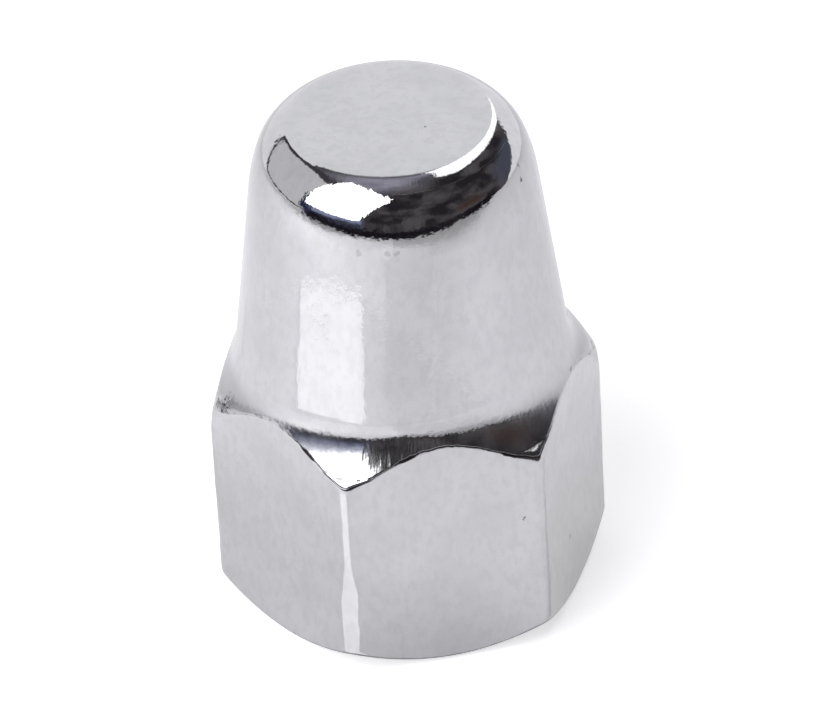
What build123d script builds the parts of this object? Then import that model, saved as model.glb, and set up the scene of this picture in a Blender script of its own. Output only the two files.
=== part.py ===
from build123d import *
from math import cos, pi, radians, sin, tan
import os

# A tall cap nut, turned in one piece from hexagon bar. The hexagon for the spanner has its corners bevelled at
# both ends, and a hollow neck sweeps up from it into a long tapering crown. The crown bows inwards and rounds
# over into a flat end face, and a blind threaded hole opens in the seating face. The origin is the centre of the
# seating face, +Z is the axis, towards the crown's end, and two of the six flats face +Y and -Y.

# Driving dimensions, in millimetres and degrees
across_flats = 19.0
bar_edge_radius = 0.44
total_height = 29.5

seat_rim_inset = 0.28
seat_bevel_angle = 38.7

shoulder_bevel_angle = 30.0
neck_radius = 6.26
neck_sweep = 30.7
neck_top_height = 15.95
neck_top_inset = 0.48

crown_taper = 6.9
crown_bow_radius = 9.9
crown_bow_sweep = 12.8
end_rounding_radius = 3.07
end_rounding_sweep = 51.5

thread_diameter = 12.0
thread_pitch = 1.75
mouth_allowance = 1.0
mouth_angle = 120.0
drill_point_angle = 118.0
end_wall = 4.5

turning_margin = 1.0

# The hexagon bar: its corners are rounded, as drawn bar is
flat_distance = across_flats / 2
bar_corner_radius = (flat_distance - bar_edge_radius) / cos(pi / 6) + bar_edge_radius

# The bevels: each is a cone that runs out past the corners, and at the seat it leaves a flat ring
blank_radius = bar_corner_radius + turning_margin
seat_rim_radius = flat_distance - seat_rim_inset
seat_bevel_height = (blank_radius - seat_rim_radius) * tan(radians(seat_bevel_angle))
shoulder_bevel_slope = tan(radians(shoulder_bevel_angle))

# The crown: its straight side leans in by the taper, bows in further and rounds over to the end face
taper = radians(crown_taper)
bow_end_angle = taper + radians(crown_bow_sweep)
rounding_end_angle = bow_end_angle + radians(end_rounding_sweep)
bow_rise = crown_bow_radius * (sin(bow_end_angle) - sin(taper))
rounding_rise = end_rounding_radius * (sin(rounding_end_angle) - sin(bow_end_angle))
neck_top_radius = flat_distance - neck_top_inset
side_top_height = total_height - bow_rise - rounding_rise
side_top_radius = neck_top_radius - (side_top_height - neck_top_height) * tan(taper)

# The blind hole, at the tapping size: its drill point stops short of the end face by the end wall
tapping_radius = (thread_diameter - thread_pitch) / 2
mouth_radius = (thread_diameter + mouth_allowance) / 2
mouth_depth = (mouth_radius - tapping_radius) / tan(radians(mouth_angle / 2))
drill_point_height = tapping_radius / tan(radians(drill_point_angle / 2))
hole_depth = total_height - end_wall - drill_point_height

with BuildPart() as cap_nut:
    # The length of hexagon bar
    with BuildSketch() as bar_section:
        RegularPolygon(flat_distance, 6, major_radius=False)
        fillet(bar_section.vertices(), radius=bar_edge_radius)
    extrude(amount=total_height)

    # The outside is turned: where the bevels and the hollow neck cut the flats they leave scalloped edges
    with BuildSketch(Plane.XZ):
        with BuildLine():
            crown_bow = JernArc(
                (side_top_radius, side_top_height),
                (-sin(taper), cos(taper)),
                crown_bow_radius,
                crown_bow_sweep,
            )
            end_rounding = JernArc(
                crown_bow @ 1,
                crown_bow % 1,
                end_rounding_radius,
                end_rounding_sweep,
            )
            neck = JernArc(
                (neck_top_radius, neck_top_height),
                (sin(taper), -cos(taper)),
                neck_radius,
                neck_sweep,
            )
            bevel_start = neck @ 1
            bevel_end_height = bevel_start.Y - (blank_radius - bevel_start.X) * shoulder_bevel_slope
            Polyline(
                end_rounding @ 1,
                (0, total_height),
                (0, 0),
                (seat_rim_radius, 0),
                (blank_radius, seat_bevel_height),
                (blank_radius, bevel_end_height),
                bevel_start,
            )
            Line(neck @ 0, crown_bow @ 0)
        make_face()
    revolve(axis=Axis.Z, mode=Mode.INTERSECT)

    # The blind hole: a countersunk mouth, the tapping bore and the drill's point
    with BuildSketch(Plane.XZ):
        with BuildLine():
            Polyline(
                (0, 0),
                (mouth_radius, 0),
                (tapping_radius, mouth_depth),
                (tapping_radius, hole_depth),
                (0, hole_depth + drill_point_height),
                close=True,
            )
        make_face()
    revolve(axis=Axis.Z, mode=Mode.SUBTRACT)

cap_nut.part.label = "cap_nut"

os.makedirs("parts", exist_ok=True)
export_step(cap_nut.part, "parts/cap_nut.step")
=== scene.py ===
from math import atan, cos, pi, radians, sin, tan

import bpy
import numpy as np
from mathutils import Matrix, Vector


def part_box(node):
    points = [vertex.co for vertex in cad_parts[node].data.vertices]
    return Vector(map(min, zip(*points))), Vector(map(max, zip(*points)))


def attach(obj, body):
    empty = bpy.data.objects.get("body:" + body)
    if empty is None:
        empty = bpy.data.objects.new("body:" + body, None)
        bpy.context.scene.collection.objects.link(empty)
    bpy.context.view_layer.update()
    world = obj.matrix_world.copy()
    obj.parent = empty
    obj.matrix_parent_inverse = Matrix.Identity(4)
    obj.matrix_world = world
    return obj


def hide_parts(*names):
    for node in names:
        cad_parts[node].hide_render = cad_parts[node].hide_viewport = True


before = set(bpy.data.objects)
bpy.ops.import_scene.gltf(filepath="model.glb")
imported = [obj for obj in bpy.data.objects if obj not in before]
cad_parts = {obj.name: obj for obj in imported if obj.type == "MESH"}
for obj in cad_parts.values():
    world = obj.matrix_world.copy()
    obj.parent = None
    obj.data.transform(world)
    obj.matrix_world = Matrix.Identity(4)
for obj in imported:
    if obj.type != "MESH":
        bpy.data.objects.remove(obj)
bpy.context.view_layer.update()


# The nut's outside. It is one piece of steel, turned from drawn hexagon bar: the lathe cut a bevel on the
# corners at each end, swept a hollow neck up from them and turned the long crown. It was then polished.
_, nut_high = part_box("cap_nut")
total_height = nut_high.z
flat_distance = nut_high.y
bar_edge_radius = 0.00044

seat_bevel = radians(38.7)
seat_rim_radius = flat_distance - 0.00028

shoulder_bevel = radians(30)
neck_radius = 0.00626
neck_sweep = radians(30.7)
neck_top_height = 0.01595
neck_top_radius = flat_distance - 0.00048

crown_taper = radians(6.9)
bow_radius = 0.0099
bow_sweep = radians(12.8)
rounding_radius = 0.00307
rounding_sweep = radians(51.5)

bow_end = crown_taper + bow_sweep
rounding_end = bow_end + rounding_sweep
bow_rise = bow_radius * (sin(bow_end) - sin(crown_taper))
rounding_rise = rounding_radius * (sin(rounding_end) - sin(bow_end))
side_top_height = total_height - bow_rise - rounding_rise
side_top_radius = neck_top_radius - (side_top_height - neck_top_height) * tan(crown_taper)

neck_centre = np.array([
    neck_top_radius + neck_radius * cos(crown_taper),
    neck_top_height + neck_radius * sin(crown_taper),
])
neck_foot_angle = crown_taper + neck_sweep
bevel_top_radius = neck_centre[0] - neck_radius * cos(neck_foot_angle)
bevel_top_height = neck_centre[1] - neck_radius * sin(neck_foot_angle)
bow_centre = np.array([
    side_top_radius - bow_radius * cos(crown_taper),
    side_top_height - bow_radius * sin(crown_taper),
])
rounding_centre = bow_centre + (bow_radius - rounding_radius) * np.array([cos(bow_end), sin(bow_end)])
end_face_radius = rounding_centre[0] + rounding_radius * cos(rounding_end)

inner_flat = flat_distance - bar_edge_radius
inner_half_side = inner_flat * tan(pi / 6)
bar_corner_radius = inner_flat / cos(pi / 6) + bar_edge_radius

# Polishing has worn the bar's edges rounder, in slight waves: each wave has a height, and then its radians
# to the metre along x, y and z. Low down they are rounder still, the one at the front left the most.
corner_reach = radians(13)
edge_growth = 0.00022
edge_waves = ((0.00005, 700, 0, 2600), (0.00004, 0, 900, 4300))
edge_swelling = 0.0012
swelling_top = 0.0077
swelling_foot = 0.0044
swelling_lost_at_seat = 0.18
worn_edge = radians(-120)
swelling_elsewhere = 0.2

# Three corners of the shoulder are blunter and fuller, and their edges have worn less: each corner has a
# direction, a height of metal left standing above the bevel, and a radius
blunt_corners = ((radians(0), 0.00024, 0.0013), (radians(180), 0.00005, 0.0011), (radians(-60), 0, 0.0005))
growth_lost = 0.8
fullness_start = 0.0092
fullness_width = 0.0012

edge_easing = 0.00006
shoulder_corner_easing = 0.00042
seat_corner_easing = 0.00026
end_face_blend = 0.0001


def smooth(share):
    """Eases a share in and out."""
    return share ** 2 * (3 - 2 * share)


def near_corner(x, y, corner):
    """A share that is one at a corner of the bar and nothing at the middle of the flats beside it."""
    off_corner = np.abs((np.arctan2(y, x) - corner + pi) % (2 * pi) - pi)
    return np.clip(2 - off_corner / corner_reach, 0, 1)


def worn_radius(x, y, z):
    """The radius of the bar's edges: nowhere less than the drawn bar's."""
    low = np.clip((swelling_top - z) / (swelling_top - swelling_foot), 0, 1)
    worn = swelling_elsewhere + (1 - swelling_elsewhere) * near_corner(x, y, worn_edge)
    near_seat = np.clip(1 - z / swelling_foot, 0, 1)
    swelling = edge_swelling * worn * smooth(low) * (1 - swelling_lost_at_seat * near_seat)
    waves = sum(height * np.sin(x * a + y * b + z * c) for height, a, b, c in edge_waves)
    at_blunt_corner = sum(near_corner(x, y, corner) for corner, *_ in blunt_corners)
    growth = edge_growth * (1 - growth_lost * at_blunt_corner)
    return bar_edge_radius + np.maximum(growth + swelling + waves, 0)


def bar_distance(x, y, z):
    """How far points stand outside the hexagon of the bar."""
    edge_radius = worn_radius(x, y, z)
    to_edge_centre = flat_distance - edge_radius
    turn = np.arctan2(y, x)
    nearest_flat = pi / 6 + np.round((turn - pi / 6) / (pi / 3)) * (pi / 3)
    out = x * np.cos(nearest_flat) + y * np.sin(nearest_flat) - to_edge_centre
    past_side = np.abs(y * np.cos(nearest_flat) - x * np.sin(nearest_flat)) - to_edge_centre * tan(pi / 6)
    off_corner = np.hypot(np.maximum(out, 0), np.maximum(past_side, 0))
    return np.where(out > 0, off_corner, out) - edge_radius


def turned_distance(r, z):
    """How far points stand outside the bevel, the hollow neck and the crown."""
    neck = neck_radius - np.hypot(r - neck_centre[0], z - neck_centre[1])
    side = (r - side_top_radius) * cos(crown_taper) + (z - side_top_height) * sin(crown_taper)
    up_side = (z - side_top_height) * cos(crown_taper) - (r - side_top_radius) * sin(crown_taper)
    bow = np.hypot(r - bow_centre[0], z - bow_centre[1]) - bow_radius
    past_centre = np.maximum(r - rounding_centre[0], 0)
    rounding = np.hypot(past_centre, z - rounding_centre[1]) - rounding_radius
    lean = np.arctan2(z - bow_centre[1], r - bow_centre[0])
    below_neck_top = up_side < (neck_top_height - side_top_height) / cos(crown_taper)
    crown = np.select([below_neck_top, up_side < 0, lean < bow_end], [neck, side, bow], rounding)
    bevel = (r - bevel_top_radius) * sin(shoulder_bevel) + (z - bevel_top_height) * cos(shoulder_bevel)
    return np.minimum(crown, bevel)


def eased(a, b, radius):
    """Where two surfaces meet at an edge, rounds it off."""
    a, b = a + radius, b + radius
    return np.hypot(np.maximum(a, 0), np.maximum(b, 0)) + np.minimum(np.maximum(a, b), 0) - radius


def blended(a, b, depth):
    """Where two surfaces meet at a shallow angle, runs one into the other."""
    return np.maximum(a, b) + np.maximum(depth - np.abs(a - b), 0) ** 2 / (4 * depth)


def outside(points):
    """How far points stand outside the nut, leaving out its hole."""
    x, y, z = points[..., 0], points[..., 1], points[..., 2]
    r = np.hypot(x, y)
    corner_share = np.clip((r - flat_distance) / (bar_corner_radius - flat_distance), 0, 1) ** 3
    shoulder_easing = edge_easing + (shoulder_corner_easing - edge_easing) * corner_share
    fullness = 0
    on_bevel = smooth(np.clip((r - fullness_start) / fullness_width, 0, 1))
    for corner, rise, easing in blunt_corners:
        at_corner = near_corner(x, y, corner)
        shoulder_easing = shoulder_easing + (easing - shoulder_easing) * at_corner * corner_share
        fullness = fullness + rise * at_corner * on_bevel
    seat_easing = edge_easing + (seat_corner_easing - edge_easing) * corner_share
    body = eased(bar_distance(x, y, z), turned_distance(r, z) - fullness, shoulder_easing)
    body = eased(body, (r - seat_rim_radius) * sin(seat_bevel) - z * cos(seat_bevel), seat_easing)
    body = eased(body, -z, edge_easing / 2)
    return blended(body, z - total_height, end_face_blend)


def slope(points, step=1e-7):
    """The outward direction of the surface at points."""
    moves = np.eye(3) * step
    return np.stack([outside(points + m) - outside(points - m) for m in moves], -1) / (2 * step)


# Columns of points run round the nut, closer together near the bar's corners and on them
columns_on_flat = 30
columns_on_corner = 8
crowding = 0.6
flat_end_turn = atan(inner_half_side / flat_distance)
even_steps = np.linspace(-1, 1, columns_on_flat, endpoint=False)
flat_turns = flat_end_turn * ((1 - crowding) * even_steps + crowding * np.sin(even_steps * pi / 2))
corner_turns = np.linspace(flat_end_turn, pi / 3 - flat_end_turn, columns_on_corner, endpoint=False)
sector_turns = np.concatenate([flat_turns, corner_turns])
turns = np.concatenate([pi / 6 + k * pi / 3 + sector_turns for k in range(6)])
past_corner_centre = np.abs(np.concatenate([flat_turns, pi / 3 - corner_turns])) - pi / 6
corner_ray = inner_flat / cos(pi / 6)
on_corner = corner_ray * np.cos(past_corner_centre) + np.sqrt(
    np.maximum(bar_edge_radius ** 2 - (corner_ray * np.sin(past_corner_centre)) ** 2, 0)
)
on_flat = flat_distance / np.cos(sector_turns)
bar_radius = np.tile(np.where(np.arange(len(sector_turns)) < columns_on_flat, on_flat, on_corner), 6)
column_count = len(turns)

neck_start_angle = np.arccos((neck_centre[0] - np.minimum(bar_radius, bevel_top_radius)) / neck_radius)
wall_foot = (bar_radius - seat_rim_radius) * tan(seat_bevel)
wall_top = np.where(
    bar_radius > bevel_top_radius,
    bevel_top_height - (bar_radius - bevel_top_radius) * tan(shoulder_bevel),
    neck_centre[1] - neck_radius * np.sin(neck_start_angle),
)

# Rows of points climb from the hole's mouth over the seat, the flats, the bevel, the neck and the crown.
# They lie closer together near edges, and below the top of the lathe's rings.
tapping_radius = 0.005125
mouth_radius = 0.0065
rings_end_radius = 0.00918
near_edge = np.array([0.00003, 0.00008, 0.00015, 0.00024, 0.00036, 0.0005])
bevel_end_gap = 0.00002
rows_on_flats = 10
rows_on_neck = 9
rows_on_side = 8
rows_on_bow = 9
rows_on_rounding = 25
rows = []


def add_row(r, z):
    rows.append((np.broadcast_to(r, column_count), np.broadcast_to(z, column_count)))


def add_arc_row(centre, radius, angle):
    add_row(centre[0] + radius * np.cos(angle), centre[1] + radius * np.sin(angle))


def steps(start, end, count):
    """Even steps from one value to another, without the first value."""
    return np.linspace(start, end, count + 1)[1:]


for share in (0, 0.02, 0.3, 0.6, 0.85, 0.95, 0.98, 1):
    add_row(mouth_radius + (seat_rim_radius - mouth_radius) * share, 0)
for share in (0.03, 0.08, 0.2, 0.4, 0.6, 0.75, 0.86, 0.93, 0.98, 1):
    add_row(seat_rim_radius + (bar_radius - seat_rim_radius) * share, wall_foot * share)
for rise in near_edge:
    add_row(bar_radius, wall_foot + rise)
for share in steps(0, 1, rows_on_flats + 1)[:-1]:
    add_row(bar_radius, wall_foot + near_edge[-1] + (wall_top - wall_foot - 2 * near_edge[-1]) * share)
for drop in near_edge[::-1]:
    add_row(bar_radius, wall_top - drop)
bevel_end_radius = np.minimum(bar_radius - bevel_end_gap, bevel_top_radius)
for share in (0, 0.04, 0.1, 0.18, 0.3, 0.45, 0.62, 0.8, 0.93, 1):
    r = bar_radius + (bevel_end_radius - bar_radius) * share
    bevel_height = bevel_top_height - (r - bevel_top_radius) * tan(shoulder_bevel)
    off_centre = neck_centre[0] - np.minimum(r, bevel_top_radius)
    neck_height = neck_centre[1] - np.sqrt(neck_radius ** 2 - off_centre ** 2)
    add_row(r, np.where(r > bevel_top_radius, bevel_height, neck_height))
neck_end_angle = np.arccos((neck_centre[0] - bevel_end_radius) / neck_radius)
rings_end_angle = np.arccos((neck_centre[0] - rings_end_radius) / neck_radius)
for share in (0.03, 0.08, 0.17, 0.32, 0.5, 0.75, 1):
    add_arc_row(neck_centre, -neck_radius, neck_end_angle + (rings_end_angle - neck_end_angle) * share)
for angle in steps(rings_end_angle, crown_taper, rows_on_neck):
    add_arc_row(neck_centre, -neck_radius, angle)
for share in steps(0, 1, rows_on_side):
    add_row(
        neck_top_radius + (side_top_radius - neck_top_radius) * share,
        neck_top_height + (side_top_height - neck_top_height) * share,
    )
for angle in steps(crown_taper, bow_end, rows_on_bow):
    add_arc_row(bow_centre, bow_radius, angle)
for angle in steps(bow_end, rounding_end, rows_on_rounding):
    add_arc_row(rounding_centre, rounding_radius, angle)
for share in (0.996, 0.985, 0.97, 0.95, 0.9, 0.8, 0.65, 0.5, 0.35, 0.2, 0.08):
    add_row(end_face_radius * share, total_height)

# Each point then moves onto the worn surface, and takes its normal from it
settling_rounds = 8
row_radius = np.array([r for r, _ in rows])
row_height = np.array([z for _, z in rows])
outer = np.stack([row_radius * np.cos(turns), row_radius * np.sin(turns), row_height], -1)
for _ in range(settling_rounds):
    gradient = slope(outer)
    outer = outer - gradient * (outside(outer) / (gradient ** 2).sum(-1))[..., None]
outer_normals = slope(outer)
outer_normals /= np.linalg.norm(outer_normals, axis=-1, keepdims=True)

# The nut's hole is drilled from the seat and stops short of the end face, and a countersink opens its mouth.
# A tap cut the right-hand thread: its crests are what the drill left, and its last turns run out shallow.
thread_pitch = 0.00175
thread_diameter = 0.012
mouth_slope = tan(radians(60))
drill_point = radians(59)
end_wall = 0.0045
groove_floor = thread_pitch / 8
groove_full_depth = thread_diameter / 2 - tapping_radius
flank_width = groove_full_depth * tan(radians(30))
thread_length = 0.0175
run_out = 0.0022
drill_tip_height = total_height - end_wall
bore_end = drill_tip_height - tapping_radius / tan(drill_point)
rows_per_pitch = 16
plain_bore_gap = 0.0004
rows_on_plain_bore = 8
point_shares = np.array([0.2, 0.4, 0.6, 0.8, 0.94])

hole_heights = np.concatenate([
    np.arange(1, thread_length / thread_pitch * rows_per_pitch + 1) * thread_pitch / rows_per_pitch,
    np.linspace(thread_length + plain_bore_gap, bore_end, rows_on_plain_bore),
])
height_grid, turn_grid = np.meshgrid(hole_heights, turns, indexing="ij")
along_groove = np.abs((height_grid / thread_pitch - turn_grid / (2 * pi)) % 1 - 0.5) * thread_pitch
groove = np.clip((groove_floor / 2 + flank_width - along_groove) / flank_width, 0, 1)
shallowing = np.clip((thread_length - height_grid) / run_out, 0, 1)
hole_radius = tapping_radius + groove_full_depth * groove * shallowing
hole_radius = np.maximum(hole_radius, mouth_radius - height_grid * mouth_slope)
hole = np.stack([hole_radius * np.cos(turn_grid), hole_radius * np.sin(turn_grid), height_grid], -1)
point_radius, turn_grid = np.meshgrid(tapping_radius * (1 - point_shares), turns, indexing="ij")
point_height = bore_end + (tapping_radius - point_radius) / tan(drill_point)
point = np.stack([point_radius * np.cos(turn_grid), point_radius * np.sin(turn_grid), point_height], -1)

# One skin of faces joins the rows from the drill's point, out through the mouth and up to the end face
skin = np.concatenate([point[::-1], hole[::-1], outer])
row_count = len(skin)
vertices = np.concatenate([skin.reshape(-1, 3), [(0, 0, drill_tip_height), (0, 0, total_height)]])
tip, end_centre = len(vertices) - 2, len(vertices) - 1
this_column = np.arange(column_count)
next_column = (this_column + 1) % column_count
faces = []
for k in range(row_count - 1):
    low = k * column_count
    high = low + column_count
    corners = [low + this_column, low + next_column, high + next_column, high + this_column]
    faces.extend(np.stack(corners, -1).tolist())
last = (row_count - 1) * column_count
faces.extend([[tip, b, a] for a, b in zip(this_column.tolist(), next_column.tolist())])
faces.extend([[last + a, last + b, end_centre] for a, b in zip(this_column.tolist(), next_column.tolist())])

nut_mesh = bpy.data.meshes.new("cap_nut_skin")
nut_mesh.from_pydata(vertices.tolist(), [], faces)
nut_mesh.validate()
nut_mesh.shade_smooth()
normals = np.zeros((len(vertices), 3), np.float32)
nut_mesh.vertex_normals.foreach_get("vector", normals.ravel())
hole_rows = len(point) + len(hole)
normals[hole_rows * column_count:row_count * column_count] = outer_normals.reshape(-1, 3)
normals[end_centre] = (0, 0, 1)
nut_mesh.normals_split_custom_set_from_vertices(normals.tolist())
nut = bpy.data.objects.new("turned_nut", nut_mesh)
bpy.context.scene.collection.objects.link(nut)


# The flats' edges at the shoulder and at the seat, and the crease between the bevel and the neck, get thin
# painted dark lines: painted reflection along the shoulder's edges, painted shadow along the seat's edge and
# painted shade in the crease. Each point of the skin carries its distances from them, in millimetres
far_off = 0.01
shoulder_margin = 0.00003
shoulder_low = bevel_top_height - 0.002
shoulder_high = neck_top_height - 0.0012
skin_radius, skin_height = np.hypot(vertices[:, 0], vertices[:, 1]), vertices[:, 2]
above_flats = turned_distance(skin_radius, skin_height) - bar_distance(*vertices.T)
neck_side = neck_radius - np.hypot(skin_radius - neck_centre[0], skin_height - neck_centre[1])
bevel_side = (skin_radius - bevel_top_radius) * sin(shoulder_bevel)
bevel_side = bevel_side + (skin_height - bevel_top_height) * cos(shoulder_bevel)
on_shoulder = (skin_height > shoulder_low) & (skin_height < shoulder_high) & (above_flats > -shoulder_margin)
off_crease = np.where(on_shoulder, np.abs(neck_side - bevel_side), far_off)
above_seat = (skin_radius - seat_rim_radius) * sin(seat_bevel) - skin_height * cos(seat_bevel)
above_seat = np.where(skin_radius > mouth_radius, above_seat - bar_distance(*vertices.T), far_off)
skin_distances = {"above_flats": above_flats, "off_crease": off_crease, "above_seat": above_seat}
for name, distances in skin_distances.items():
    distance_layer = nut_mesh.attributes.new(name, "FLOAT", "POINT")
    distance_layer.data.foreach_set("value", (distances * 1000).astype(np.float32))


def add_node(tree, kind, inputs, **settings):
    """Adds a node to a material: each of its inputs gets a fixed value or the output of another node."""
    node = tree.nodes.new("ShaderNode" + kind)
    for name, setting in settings.items():
        setattr(node, name, setting)
    for key, value in inputs.items():
        if isinstance(value, bpy.types.NodeSocket):
            tree.links.new(value, node.inputs[key])
        else:
            node.inputs[key].default_value = value
    return node


def calc(tree, operation, *values):
    """A sum in a material."""
    return add_node(tree, "Math", dict(enumerate(values)), operation=operation).outputs[0]


def vector_calc(tree, operation, *values):
    """The same for vectors: a plain number scales."""
    inputs = {"Scale" if isinstance(value, float) else key: value for key, value in enumerate(values)}
    result = "Value" if operation in ("DISTANCE", "LENGTH", "DOT_PRODUCT") else "Vector"
    return add_node(tree, "VectorMath", inputs, operation=operation).outputs[result]


def grain(tree, place, scale, detail=2.0, roughness=0.5, result="Fac"):
    """Uneven cloudiness, with its middle at a half: the scale is in clouds to the unit of the place."""
    inputs = {"Vector": place, "Scale": scale, "Detail": detail, "Roughness": roughness}
    return add_node(tree, "TexNoise", inputs).outputs[result]


def ramp(tree, value, start, end, start_level=0.0, end_level=1.0):
    """A smooth change of level between two values."""
    inputs = {"Value": value, "From Min": start, "From Max": end, "To Min": start_level, "To Max": end_level}
    return add_node(tree, "MapRange", inputs, interpolation_type="SMOOTHSTEP").outputs["Result"]


def patch(tree, place, centre, inner, outer, level=1.0, outer_level=0.0):
    """A round patch: it has one level up to its inner radius and the other from its outer radius on."""
    return ramp(tree, vector_calc(tree, "DISTANCE", place, centre), inner, outer, level, outer_level)


def tint(tree, share, before, after):
    """Lays one colour over another by a share: each is a fixed colour or the output of another node."""
    before, after = [(*colour, 1) if isinstance(colour, tuple) else colour for colour in (before, after)]
    return add_node(tree, "Mix", {0: share, 6: before, 7: after}, data_type="RGBA").outputs[2]


def bumps(tree, height, surface):
    """Gives a surface small rises and hollows: their height is in millimetres."""
    bump = add_node(tree, "Bump", {"Height": height, "Distance": 0.001})
    tree.links.new(bump.outputs["Normal"], surface.inputs["Normal"])


def steel_surface(name):
    """A new metal material, with its place on the nut in millimetres."""
    material = bpy.data.materials.new(name)
    material.use_nodes = True
    tree = material.node_tree
    surface = tree.nodes["Principled BSDF"]
    surface.inputs["Metallic"].default_value = 1.0
    place = vector_calc(tree, "SCALE", tree.nodes.new("ShaderNodeTexCoord").outputs["Object"], 1000.0)
    return material, tree, surface, place


# The steel's finish: scales are in marks to the millimetre, and heights, widths and radii in millimetres. The
# neck's foot, between two circles, can be duller and rougher than the rest.
steel_colour = (0.63, 0.63, 0.638)
dull_colour = (0.555, 0.555, 0.565)
ringed_colour = (0.49, 0.488, 0.5)
# The painted dark lines of reflection and shade, and the dirt, share one dark colour, roughness and dent
shade_and_dirt_colour = (0.035, 0.03, 0.035)
polish_roughness = 0.04
shade_and_dirt_roughness = 0.35
shade_and_dirt_height = -0.01
cloud_scale = 0.35
ripple_scale, ripple_height = 0.3, 0.035
leather_scale, leather_height, leather_stretch = 2.0, 0.006, (1.0, 1.0, 0.6)
ragged_scale, ragged_height = 2.8, 0.0045
foot_start, foot_full, foot_fading, foot_end = 9.2, 9.6, 10.1, 10.3
foot_dulling = 0.8
bevel_share = 0.3

# The wheel's marks run up the nut, and are deeper where the shoulder's edge has chatter marks: a patch has a
# centre, an inner and an outer radius
streak_scale = 5.0
streak_circle = 9.0
streak_stretch = (0.0, 0.0, 0.18)
streak_start, streak_full = 5.2, 6.2
chatter_patch = ((-1.7, -9.4, 13.5), 0.8, 2.0)
chatter_depth = 5.0

# Painted dark lines, for reflection along the shoulder's edges and for shade at the seat and in the crease,
# are ragged, in dashes but whole in one patch; dirt lies in specks on the left corner and in small marks:
# each mark has a centre, a radius and a depth of colour
line_raggedness, line_shift = 0.1, -0.08
thin_line, thick_line = 0.025, 0.075
dash_scale, dash_depth = 1.6, 0.4
whole_line_patch = ((-0.87, -9.0, 13.2), 6.9, 8.0)
seat_shadow_depth = 0.75
speckled_patch = ((-10.15, -0.75, 13.1), 0.3, 0.9)
speck_scale = 7.0
nut_marks = [
    ((1.70, -1.25, 29.5), 0.12, 0.7),
    ((-3.45, -6.98, 26.04), 0.24, 0.2),
    ((-1.93, -7.54, 26.06), 0.22, 0.22),
    ((-1.5, -7.64, 26.03), 0.2, 0.2),
    ((6.09, -3.94, 27.89), 0.16, 0.7),
    ((6.13, -4.34, 27.2), 0.2, 0.8),
    ((4.31, -9.5, 8.68), 0.13, 0.8),
    ((7.63, -5.79, 4.06), 0.14, 0.6),
]
mark_core = 0.4
tearing_scale = 3.5
tearing_reach = 0.5


def skin_distance(tree, name):
    """One of the distances that the points of the skin carry."""
    return add_node(tree, "Attribute", {}, attribute_name=name).outputs["Fac"]


def small_marks(tree, place):
    """The nut's small marks, with torn edges."""
    tearing = grain(tree, place, tearing_scale, result="Color")
    torn_place = vector_calc(tree, "ADD", place, vector_calc(tree, "SCALE", tearing, tearing_reach))
    share = 0.0
    for centre, radius, depth in nut_marks:
        torn_centre = tuple(value + tearing_reach / 2 for value in centre)
        mark = patch(tree, torn_place, torn_centre, radius * mark_core, radius, depth)
        share = calc(tree, "MAXIMUM", share, mark)
    return share


def shade_and_dirt_share(tree, place, ragged):
    """Where painted dark lines and dirt lie: ragged lines of painted reflection along the edges, of painted
    shadow along the seat and of painted shade in the crease, and specks and small marks of dirt.
    """
    shift = calc(tree, "MULTIPLY_ADD", ragged, line_raggedness, line_shift)
    dashes = ramp(tree, grain(tree, place, dash_scale, 1.0), 0.48, 0.62, 0.0, dash_depth)

    # Painted reflection: a dark line along the shoulder's edges, for the dim room mirrored there, whole in
    # one patch
    edge = skin_distance(tree, "above_flats")
    edge_distance = calc(tree, "ABSOLUTE", calc(tree, "ADD", edge, shift))
    edge_width = ramp(tree, grain(tree, place, 0.7, 0.0), 0.42, 0.65, thin_line, thick_line)
    edge_reflection_line = calc(tree, "SUBTRACT", 1.0, calc(tree, "DIVIDE", edge_distance, edge_width))
    whole_line = patch(tree, place, *whole_line_patch)
    edge_reflection_line = calc(tree, "MULTIPLY", ramp(tree, edge_reflection_line, 0.0, 0.6), calc(tree, "MAXIMUM", whole_line, dashes))

    # Painted shadow: a dark line along the seat's edge, where the nut stands on the table
    seat_distance = calc(tree, "ABSOLUTE", calc(tree, "ADD", skin_distance(tree, "above_seat"), shift))
    seat_shadow_line = ramp(tree, seat_distance, 0.02, 0.1, seat_shadow_depth, 0.0)
    # Painted shade: a dark line in the crease between the bevel and the neck
    crease_distance = calc(tree, "ABSOLUTE", calc(tree, "ADD", skin_distance(tree, "off_crease"), shift))
    crease_shade_line = calc(tree, "MULTIPLY", ramp(tree, crease_distance, 0.0, 0.06, 1.0, 0.0), dashes)

    speckled = calc(tree, "MULTIPLY", patch(tree, place, *speckled_patch), ramp(tree, edge, -0.12, -0.02))
    specks = calc(tree, "MULTIPLY", speckled, ramp(tree, grain(tree, place, speck_scale, 1.0), 0.56, 0.62))

    shade_and_dirt = edge_reflection_line
    for share in (seat_shadow_line, crease_shade_line, specks, small_marks(tree, place)):
        shade_and_dirt = calc(tree, "MAXIMUM", shade_and_dirt, share)
    return shade_and_dirt


def wheel_streaks(tree, place, reach, streak_height):
    """The height of the marks that run up the nut: none on the end face."""
    outward = vector_calc(tree, "NORMALIZE", vector_calc(tree, "MULTIPLY", place, (1.0, 1.0, 0.0)))
    along = vector_calc(tree, "MULTIPLY", place, streak_stretch)
    round_place = vector_calc(tree, "ADD", vector_calc(tree, "SCALE", outward, streak_circle), along)
    streaks = grain(tree, round_place, streak_scale, 1.0)
    share = ramp(tree, reach, streak_start, streak_full, 0.0, streak_height)
    chatter = patch(tree, place, *chatter_patch, chatter_depth, 1.0)
    return calc(tree, "MULTIPLY", streaks, calc(tree, "MULTIPLY", share, chatter))


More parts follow.
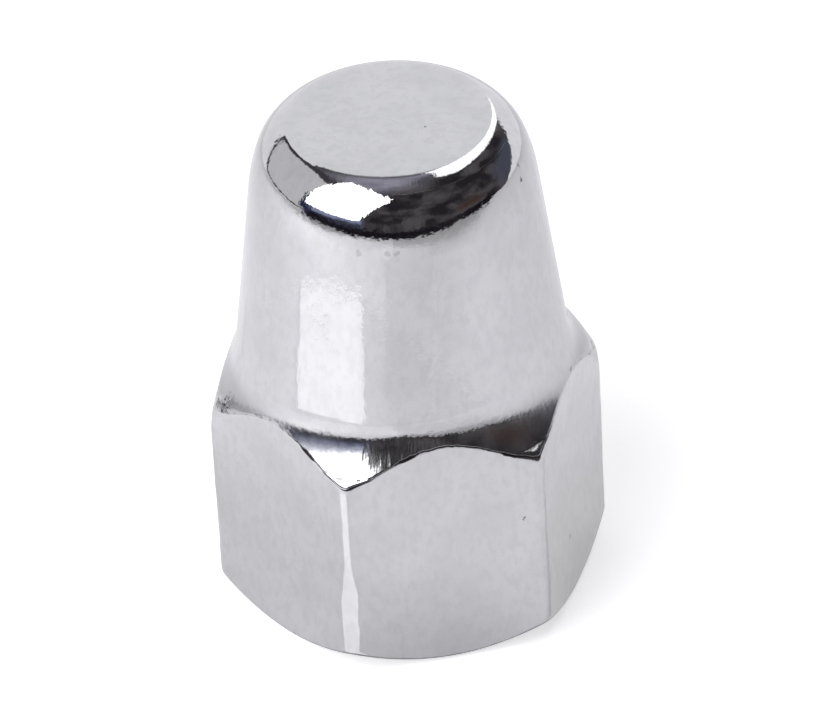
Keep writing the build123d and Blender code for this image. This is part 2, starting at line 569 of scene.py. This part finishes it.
def finish_steel(tree, surface, place, streak_height, foot_roughness=0.0):
    """Polished steel: cloudy, rippled and streaked, with painted dark lines of reflection and shade and with
    dirt on it, and rougher at the neck's foot.
    """
    clouds = grain(tree, place, cloud_scale, 2.0, 0.6)
    leather_place = vector_calc(tree, "MULTIPLY", place, leather_stretch)
    leather = grain(tree, leather_place, leather_scale, 2.0, 0.6)
    ragged = grain(tree, place, ragged_scale, 2.0, 0.6)
    reach = vector_calc(tree, "LENGTH", vector_calc(tree, "MULTIPLY", place, (1.0, 1.0, 0.0)))
    shade_and_dirt = shade_and_dirt_share(tree, place, ragged)

    colour = tint(tree, ramp(tree, clouds, 0.35, 0.7, 0.0, 0.5), steel_colour, dull_colour)
    colour = tint(tree, ramp(tree, leather, 0.42, 0.68, 0.0, 0.55), colour, dull_colour)
    roughness = ramp(tree, clouds, 0.3, 0.8, polish_roughness, 2 * polish_roughness)
    if foot_roughness:
        past_foot = ramp(tree, reach, foot_fading, foot_end, 1.0, bevel_share)
        foot = calc(tree, "MULTIPLY", ramp(tree, reach, foot_start, foot_full), past_foot)
        colour = tint(tree, calc(tree, "MULTIPLY", foot, foot_dulling), colour, ringed_colour)
        roughness = calc(tree, "MULTIPLY_ADD", foot, foot_roughness, roughness)
    # The painted dark lines of reflection and shade, and the dirt, darken the colour and roughen the steel
    tree.links.new(tint(tree, shade_and_dirt, colour, shade_and_dirt_colour), surface.inputs["Base Color"])
    roughness = calc(tree, "MULTIPLY_ADD", shade_and_dirt, shade_and_dirt_roughness, roughness)
    tree.links.new(roughness, surface.inputs["Roughness"])

    height = calc(tree, "MULTIPLY", grain(tree, place, ripple_scale, 0.0), ripple_height)
    height = calc(tree, "MULTIPLY_ADD", leather, leather_height, height)
    height = calc(tree, "MULTIPLY_ADD", ragged, ragged_height, height)
    height = calc(tree, "ADD", height, wheel_streaks(tree, place, reach, streak_height))
    bumps(tree, calc(tree, "MULTIPLY_ADD", shade_and_dirt, shade_and_dirt_height, height), surface)


# The crown and the flats are polished, with faint wheel marks
polished, tree, surface, place = steel_surface("polished_steel")
finish_steel(tree, surface, place, streak_height=0.0012)

# The neck's foot and the bevel keep the lathe's rings, which spread every reflection up and down
turned, tree, surface, place = steel_surface("turned_steel")
finish_steel(tree, surface, place, streak_height=0.008, foot_roughness=0.08)
surface.inputs["Anisotropic"].default_value = 0.92
surface.inputs["Anisotropic Rotation"].default_value = 0.25
rings = add_node(tree, "Tangent", {}, direction_type="RADIAL", axis="Z")
tree.links.new(rings.outputs["Tangent"], surface.inputs["Tangent"])

# The tapped hole is left dull and a little oily, in patches
oily_colour = (0.3, 0.29, 0.29)
dry_colour = (0.46, 0.455, 0.46)
tapped, tree, surface, place = steel_surface("tapped_steel")
oil = grain(tree, place, 0.6, 4.0, 0.6)
tree.links.new(tint(tree, ramp(tree, oil, 0.3, 0.7), oily_colour, dry_colour), surface.inputs["Base Color"])
tree.links.new(ramp(tree, oil, 0.3, 0.7, 0.5, 0.32), surface.inputs["Roughness"])
bumps(tree, calc(tree, "MULTIPLY", grain(tree, place, 5.0, 3.0), 0.02), surface)

# Each face takes the finish of the part of the skin that it lies in
finish_margin = 0.00002
in_shoulder = (above_flats > -finish_margin) & (skin_radius > rings_end_radius - finish_margin / 2)
in_shoulder &= skin_height > shoulder_low
in_hole = np.arange(len(vertices)) <= hole_rows * column_count
in_hole[tip] = True
finishes = [polished, turned, tapped]
for material in finishes:
    nut_mesh.materials.append(material)
for face in nut_mesh.polygons:
    corners = list(face.vertices)
    finish = tapped if in_hole[corners].all() else turned if in_shoulder[corners].all() else polished
    face.material_index = finishes.index(finish)

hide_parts("cap_nut")
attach(nut, "root")


# The table top: a sheet of white paper with a slight gloss, which the nut stands on. It runs on past every
# side of the picture, and its far edges and its painted light and shade show in the steel only.
view_azimuth = radians(-10.63)
table_left, table_right, table_front, table_back = -0.36, 0.33, -0.33, 0.16
table_drop = 0.00002
table_mesh = bpy.data.meshes.new("table_top")
table_mesh.from_pydata([
    (table_left, table_front, 0),
    (table_right, table_front, 0),
    (table_right, table_back, 0),
    (table_left, table_back, 0),
], [], [[0, 1, 2, 3]])
table = bpy.data.objects.new("table_top", table_mesh)
table.rotation_euler.z = view_azimuth
table.location.z = -table_drop
bpy.context.scene.collection.objects.link(table)

# The sheet's painted light and shade, in metres on the sheet: painted shade dims it towards the front, it has
# round patches of painted shade and painted light with a centre, an inner and an outer radius and a colour,
# and painted light brightens it at the front left and along a fold
sheet_tone = (0.9, 0.893, 0.925)
front_painted_shade = (0.36, 0.357, 0.37)
painted_light_colour = (0.98, 0.973, 0.98)
painted_light_and_shade_patches = [
    ((0.004, -0.019, 0), 0.005, 0.013, (0.95, 0.943, 0.975)),
    ((0.005, -0.012, 0), 0.002, 0.008, (0.9, 0.893, 0.925)),
    ((0.01, -0.105, 0), 0.025, 0.085, (0.65, 0.645, 0.67)),
    ((-0.005, 0.0065, 0), 0.014, 0.027, (0.66, 0.655, 0.68)),
    ((-0.075, 0.02, 0), 0.02, 0.055, (0.84, 0.834, 0.86)),
]
fold_reach = 0.0345

paper = bpy.data.materials.new("white_paper")
paper.use_nodes = True
tree = paper.node_tree
tree.nodes.clear()
sheet_place = tree.nodes.new("ShaderNodeTexCoord").outputs["Object"]
sheet_x, sheet_y, _ = add_node(tree, "SeparateXYZ", {0: sheet_place}).outputs
# Painted shade: the sheet dims towards the front
painted_tone = tint(tree, ramp(tree, sheet_y, -0.14, -0.03, 0.9, 0.0), sheet_tone, front_painted_shade)
# Round patches of painted light near the nut, and of painted shadow round its foot, in front and on the left
for centre, inner, outer, colour in painted_light_and_shade_patches:
    painted_tone = tint(tree, patch(tree, sheet_place, centre, inner, outer), painted_tone, colour)
# Painted light: brighter at the front left and along a fold
at_left = ramp(tree, sheet_x, -0.014, -0.009, 0.3, 0.0)
at_front = ramp(tree, sheet_y, -0.045, -0.03, 1.0, 0.0)
off_fold = calc(tree, "ABSOLUTE", calc(tree, "ADD", calc(tree, "ADD", sheet_x, sheet_y), fold_reach))
fold_highlight = ramp(tree, off_fold, 0.0003, 0.001, 0.35, 0.0)
painted_light_share = calc(tree, "MAXIMUM", calc(tree, "MULTIPLY", at_left, at_front), fold_highlight)
matt = add_node(tree, "BsdfDiffuse", {"Color": tint(tree, painted_light_share, painted_tone, painted_light_colour)})

# The gloss is seen by way of the steel only: it is a little stronger near its centre and ends a short way out
gloss_centre = (-0.01, -0.0175, 0)
strong_gloss, weak_gloss = 0.13, 0.108
light_path = tree.nodes.new("ShaderNodeLightPath").outputs
gloss_level = patch(tree, sheet_place, gloss_centre, 0.018, 0.036, strong_gloss, weak_gloss)
gloss_level = calc(tree, "MULTIPLY", gloss_level, patch(tree, sheet_place, gloss_centre, 0.0445, 0.046))
gloss_share = calc(tree, "MULTIPLY", light_path["Is Glossy Ray"], gloss_level)
gloss = add_node(tree, "BsdfAnisotropic", {"Color": (1, 1, 1, 1), "Roughness": 0.03})
sheet = add_node(tree, "MixShader", {"Fac": gloss_share, 1: matt.outputs[0], 2: gloss.outputs[0]})

# The sheet glows as well, as in a picture exposed until paper is pure white, and the steel mirrors less of it
camera_glow = 0.6
mirrored_glow = 0.21
transmitted_glow = 0.4
strength = calc(tree, "MULTIPLY", light_path["Is Camera Ray"], camera_glow)
strength = calc(tree, "MULTIPLY_ADD", light_path["Is Glossy Ray"], mirrored_glow, strength)
strength = calc(tree, "MULTIPLY_ADD", light_path["Is Transmission Ray"], transmitted_glow, strength)
glow = add_node(tree, "Emission", {"Strength": strength})
lit_sheet = add_node(tree, "AddShader", {0: sheet.outputs[0], 1: glow.outputs[0]})
add_node(tree, "OutputMaterial", {"Surface": lit_sheet.outputs[0]})
table_mesh.materials.append(paper)


# The lamp: a large softbox low on the left, in front, whose reflection is the white patch on the crown's
# rounding and, by way of the paper's gloss, the bright band down the crown. Its face leans over the nut.
def studio_point(azimuth, reach, height):
    """A point round the nut: degrees to the right of the camera, then metres outwards and upwards."""
    a = radians(azimuth) + view_azimuth
    return Vector((sin(a) * reach, -cos(a) * reach, height))


def standing(place, x_axis, y_axis, z_axis):
    """The matrix that stands an object at a place, turned to three axes."""
    return Matrix.Translation(place) @ Matrix((x_axis, y_axis, z_axis)).transposed().to_4x4()


lamp_height = 0.0745
lamp_low_left = studio_point(-75.5, 0.243, lamp_height)
lamp_low_right = studio_point(-28.3, 0.297, lamp_height)
lamp_depth = 0.27
lamp_lean = radians(34.3)
lamp_brightness = 3.4

low_edge = lamp_low_right - lamp_low_left
lamp_along = low_edge.normalized()
lamp_outward = Vector((low_edge.y, -low_edge.x, 0)).normalized()
lamp_rise = Vector((0, 0, cos(lamp_lean))) - lamp_outward * sin(lamp_lean)
lamp_centre = (lamp_low_left + lamp_low_right) / 2 + lamp_rise * lamp_depth / 2
lamp_data = bpy.data.lights.new("main_softbox", "AREA")
lamp_data.shape = "RECTANGLE"
lamp_data.size = low_edge.length
lamp_data.size_y = lamp_depth
lamp_data.energy = lamp_brightness * pi * low_edge.length * lamp_depth
lamp = bpy.data.objects.new("main_softbox", lamp_data)
lamp.matrix_world = standing(lamp_centre, lamp_along, lamp_rise, lamp_along.cross(lamp_rise))
lamp.visible_camera = False
bpy.context.scene.collection.objects.link(lamp)


# The room round the table is dim, with a pale backdrop behind and a grey panel on the left, and is made of
# cards with straight sides. It is there for the steel: the camera sees plain white in its place.
studio = bpy.data.worlds.new("studio")
bpy.context.scene.world = studio
studio.use_nodes = True
room = studio.node_tree
room.nodes.clear()
direction = room.nodes.new("ShaderNodeTexCoord").outputs["Generated"]
uneven = grain(room, direction, 3.5)
light = tint(room, ramp(room, uneven, 0.36, 0.68), (0.024, 0.022, 0.026), (0.11, 0.102, 0.109))
ceiling = tint(room, ramp(room, uneven, 0.3, 0.7), (0.2, 0.197, 0.25), (0.4, 0.39, 0.47))

# Each card has its corners, in degrees to the right of the camera and above the table, seen from the nut,
# and then its colour and the softness of its sides. A card lies over the ones before it.
cards = [
    # The ceiling, and a dim stretch of wall on the right
    ([(-120, 58), (-30, 64), (40, 76), (150, 58)], ceiling, 0.2),
    ([(94, 0), (134, 0), (134, 26), (94, 26)], (0.085, 0.09, 0.12), 0.1),
    # The backdrop, which rises from behind the table in two sheets, and its softly lit top
    ([(88, -12), (-122, -12), (-122, 27), (171, 31.5)], (1.0, 1.0, 1.03), 0.012),
    ([(150, 20.3), (-122, 10), (-125, 50), (170, 50)], (1.0, 1.0, 1.03), 0.02),
    ([(150, 30), (-150, 30), (-150, 52), (150, 52)], (0.95, 0.955, 0.985), 0.15),
    # The grey panel on the left: the light strip that it stands on, its dark frame and its face
    ([(-125, -12), (-76, -12), (-76, -2), (-125, -2)], (0.85, 0.85, 0.86), 0.005),
    ([(-125, -2.6), (-72, -2.6), (-74, 57), (-118, 59), (-149, 29)], (0.06, 0.055, 0.065), 0.01),
    ([(-122, -1), (-74, -1), (-78, 53), (-118, 52), (-144, 28)], (0.7, 0.695, 0.72), 0.01),
    # The bluish gap below the lamp, darker towards the table, and the dark upright at its left
    ([(-77, -8), (-26, -8), (-26, 15), (-77, 15)], (0.3, 0.33, 0.48), 0.04),
    ([(-77, -8), (-26, -8), (-26, 4), (-77, 4)], (0.05, 0.05, 0.08), 0.05),
    ([(-74, -8), (-58, -8), (-62, 4), (-70, 4)], (0.015, 0.02, 0.045), 0.03),
    ([(-81, 2), (-70, 0), (-73, 34), (-80, 34)], (0.03, 0.035, 0.085), 0.02),
    # The dark strip past the table's front edge, and a brown patch on the right
    ([(-72, -8), (80, -8), (80, 0), (-72, 0)], (0.012, 0.01, 0.014), 0.02),
    ([(48, 4), (76, 4), (72, 18), (54, 15)], (0.07, 0.045, 0.04), 0.09),
    # The bright window behind on the right, whose reflection is the arc at the rim of the end face
    (
        [(143, 28), (165, 20), (166, 62), (103, 71), (98, 62.5), (112, 52.5), (130.5, 43.5)],
        (1.8, 1.8, 1.8),
        0.014,
    ),
]


def card_share(corners, softness):
    """The part of the room that a card covers: its corners go round anticlockwise, seen from the nut."""
    points = [studio_point(azimuth, cos(radians(e)), sin(radians(e))) for azimuth, e in corners]
    share = 1.0
    for a, b in zip(points, points[1:] + points[:1]):
        past_side = vector_calc(room, "DOT_PRODUCT", direction, a.cross(b).normalized())
        share = calc(room, "MULTIPLY", share, ramp(room, past_side, -softness, softness))
    return share


for corners, colour, softness in cards:
    light = tint(room, card_share(corners, softness), light, colour)
dim_room = add_node(room, "Background", {"Color": light})
plain_white = add_node(room, "Background", {"Color": (1, 1, 1, 1)})
seen_by_camera = room.nodes.new("ShaderNodeLightPath").outputs["Is Camera Ray"]
room_or_white = {"Fac": seen_by_camera, 1: dim_room.outputs[0], 2: plain_white.outputs[0]}
surroundings = add_node(room, "MixShader", room_or_white)
add_node(room, "OutputWorld", {"Surface": surroundings.outputs[0]})


# The camera stands half a metre off with a long lens, and looks down on the nut from a little to the left
# of the front flat's middle. It is tilted slightly.
view_elevation = radians(35.46)
view_roll = radians(3.215)
view_distance = 0.54603
lens = 440.39
film_width = 36
aim = Vector((0, 0, 0.012825))
shift_right = 0.000236
shift_up = 0.000572

back = studio_point(0, cos(view_elevation), sin(view_elevation))
right = Vector((cos(view_azimuth), sin(view_azimuth), 0))
up = back.cross(right)
camera_place = aim + back * view_distance + right * shift_right + up * shift_up
picture_right = right * cos(view_roll) - up * sin(view_roll)
picture_up = right * sin(view_roll) + up * cos(view_roll)
camera_data = bpy.data.cameras.new("camera")
camera_data.lens = lens
camera_data.sensor_width = film_width
camera = bpy.data.objects.new("camera", camera_data)
camera.matrix_world = standing(camera_place, picture_right, picture_up, back)
bpy.context.scene.collection.objects.link(camera)
bpy.context.scene.camera = camera
bpy.context.scene.view_settings.view_transform = "Standard"
